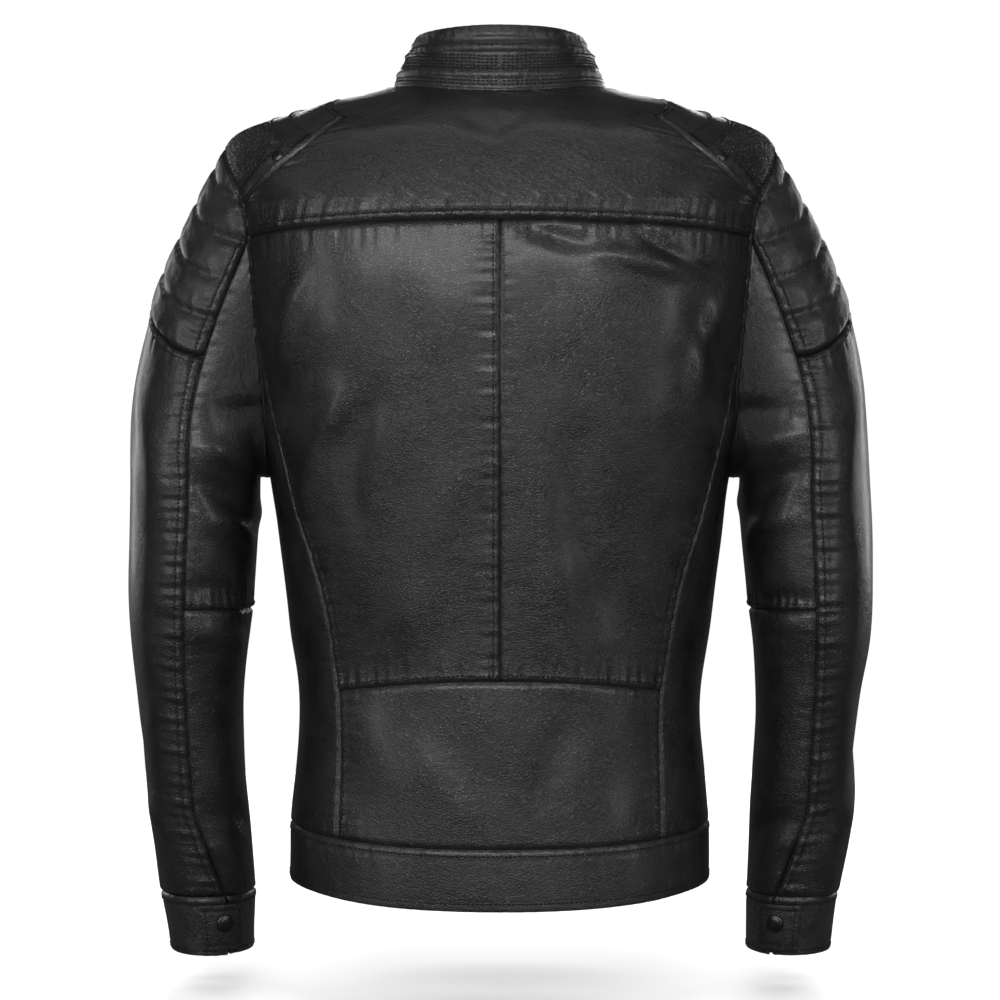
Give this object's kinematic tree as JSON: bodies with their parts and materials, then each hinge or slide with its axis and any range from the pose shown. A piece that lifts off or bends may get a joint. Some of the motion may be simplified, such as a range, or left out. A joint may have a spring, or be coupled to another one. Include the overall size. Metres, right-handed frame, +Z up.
{
  "type": "leather riding jacket",
  "caption": "Short black leather riding jacket with stand collar, back yoke, quilted upper sleeves, centre zip and snap cuffs.",
  "frame": {"origin": "centre of the neck opening, level with the seam that joins the collar to the back", "axes": "+Z up, the front faces -Y, the wearer's left is +X"},
  "size_m": [0.5916, 0.258, 0.7292],
  "materials": {
    "leather": "semi-gloss grained",
    "quilted_leather": "semi-gloss, quilted",
    "trim_leather": "semi-gloss grained, topstitched",
    "lining": "satin",
    "zip_tape": "woven",
    "gunmetal": "dark gunmetal, polished"
  },
  "bodies": {
    "torso": {"back_yoke": "leather", "back_lower_panel": "leather", "collar_back": "trim_leather", "hem_band_back": "trim_leather", "back_lining": "lining", "hanger_loop": "trim_leather", "back_panel_left": "leather", "back_panel_right": "leather", "side_panel_left": "leather", "side_panel_right": "leather", "front_side_left": "leather", "front_side_right": "leather", "front_yoke_left": "leather", "front_yoke_right": "leather", "shoulder_patch_left": "trim_leather", "shoulder_patch_right": "trim_leather", "shoulder_snap_left": "gunmetal", "shoulder_snap_right": "gunmetal"},
    "front_left": {"front_panel_left": "leather", "front_lining_left": "lining", "collar_front_left": "trim_leather", "hem_band_front_left": "trim_leather", "zip_tape_left": "zip_tape", "zip_teeth_left": "gunmetal", "hand_pocket_zip_left": "gunmetal", "chest_pocket_zip": "gunmetal"},
    "front_right": {"front_panel_right": "leather", "front_lining_right": "lining", "collar_front_right": "trim_leather", "hem_band_front_right": "trim_leather", "zip_tape_right": "zip_tape", "zip_teeth_right": "gunmetal", "hand_pocket_zip_right": "gunmetal", "collar_snap_stud": "gunmetal"},
    "collar_flap": {"collar_tab": "trim_leather", "collar_snap_cap": "gunmetal"},
    "zip_slider": {"main_zip_slider": "gunmetal"},
    "zip_pull": {"main_zip_pull": "gunmetal"},
    "pocket_slider_left": {"hand_pocket_slider_left": "gunmetal"},
    "pocket_slider_right": {"hand_pocket_slider_right": "gunmetal"},
    "pocket_slider_chest": {"chest_pocket_slider": "gunmetal"},
    "upper_sleeve_left": {"sleeve_quilt_left": "quilted_leather", "sleeve_upper_outer_left": "leather", "sleeve_upper_under_left": "leather"},
    "lower_sleeve_left": {"sleeve_lower_outer_left": "leather", "sleeve_lower_under_left": "leather", "cuff_left": "trim_leather", "cuff_snap_stud_left": "gunmetal"},
    "cuff_flap_left": {"cuff_tab_left": "trim_leather", "cuff_snap_cap_left": "gunmetal"},
    "upper_sleeve_right": {"sleeve_quilt_right": "quilted_leather", "sleeve_upper_outer_right": "leather", "sleeve_upper_under_right": "leather"},
    "lower_sleeve_right": {"sleeve_lower_outer_right": "leather", "sleeve_lower_under_right": "leather", "cuff_right": "trim_leather", "cuff_snap_stud_right": "gunmetal"},
    "cuff_flap_right": {"cuff_tab_right": "trim_leather", "cuff_snap_cap_right": "gunmetal"}
  },
  "joints": [
    {"name": "front_left_open", "type": "hinge", "parent": "torso", "child": "front_left", "pos_m": [0.08, -0.072, -0.05], "axis": [0, 0.0628, 0.998], "range_deg": [0, 45]},
    {"name": "front_right_open", "type": "hinge", "parent": "torso", "child": "front_right", "pos_m": [-0.08, -0.072, -0.05], "axis": [0, -0.0628, -0.998], "range_deg": [0, 45]},
    {"name": "collar_flap_open", "type": "hinge", "parent": "front_left", "child": "collar_flap", "pos_m": [0.027, -0.0843, -0.026], "axis": [0, 0.0628, 0.998], "range_deg": [0, 110]},
    {"name": "main_zip_travel", "type": "slide", "parent": "front_right", "child": "zip_slider", "axis": [0, -0.0628, -0.998], "range_m": [0, 0.54]},
    {"name": "zip_pull_swing", "type": "hinge", "parent": "zip_slider", "child": "zip_pull", "pos_m": [0, -0.08483, -0.06324], "axis": [-1, 0, 0], "range_deg": [0, 100]},
    {"name": "hand_pocket_left_travel", "type": "slide", "parent": "front_left", "child": "pocket_slider_left", "axis": [0.1694, -0.0158, -0.9854], "range_m": [0, 0.1]},
    {"name": "hand_pocket_right_travel", "type": "slide", "parent": "front_right", "child": "pocket_slider_right", "axis": [-0.1694, -0.0158, -0.9854], "range_m": [0, 0.1]},
    {"name": "chest_pocket_travel", "type": "slide", "parent": "front_left", "child": "pocket_slider_chest", "axis": [0.9514, 0.0901, -0.2945], "range_m": [0, 0.062]},
    {"name": "sleeve_left_raise", "type": "hinge", "parent": "torso", "child": "upper_sleeve_left", "pos_m": [0.2185, 0, -0.035], "axis": [0, -1, 0], "range_deg": [0, 35]},
    {"name": "elbow_left_bend", "type": "hinge", "parent": "upper_sleeve_left", "child": "lower_sleeve_left", "pos_m": [0.247, 0.004, -0.403], "axis": [-1, 0, 0], "range_deg": [0, 55]},
    {"name": "cuff_flap_left_open", "type": "hinge", "parent": "lower_sleeve_left", "child": "cuff_flap_left", "pos_m": [0.2359, 0.0274, -0.655], "axis": [-0.0638, -0.1649, -0.9842], "range_deg": [0, 70]},
    {"name": "sleeve_right_raise", "type": "hinge", "parent": "torso", "child": "upper_sleeve_right", "pos_m": [-0.2185, 0, -0.035], "axis": [0, 1, 0], "range_deg": [0, 35]},
    {"name": "elbow_right_bend", "type": "hinge", "parent": "upper_sleeve_right", "child": "lower_sleeve_right", "pos_m": [-0.247, 0.004, -0.403], "axis": [-1, 0, 0], "range_deg": [0, 55]},
    {"name": "cuff_flap_right_open", "type": "hinge", "parent": "lower_sleeve_right", "child": "cuff_flap_right", "pos_m": [-0.2359, 0.0274, -0.655], "axis": [-0.0638, 0.1649, 0.9842], "range_deg": [0, 70]}
  ],
  "couplings": [
    {"joint": "front_right_open", "follows": "front_left_open", "ratio": 1},
    {"joint": "main_zip_travel", "follows": "front_left_open", "m_per_rad": 0.6875}
  ]
}
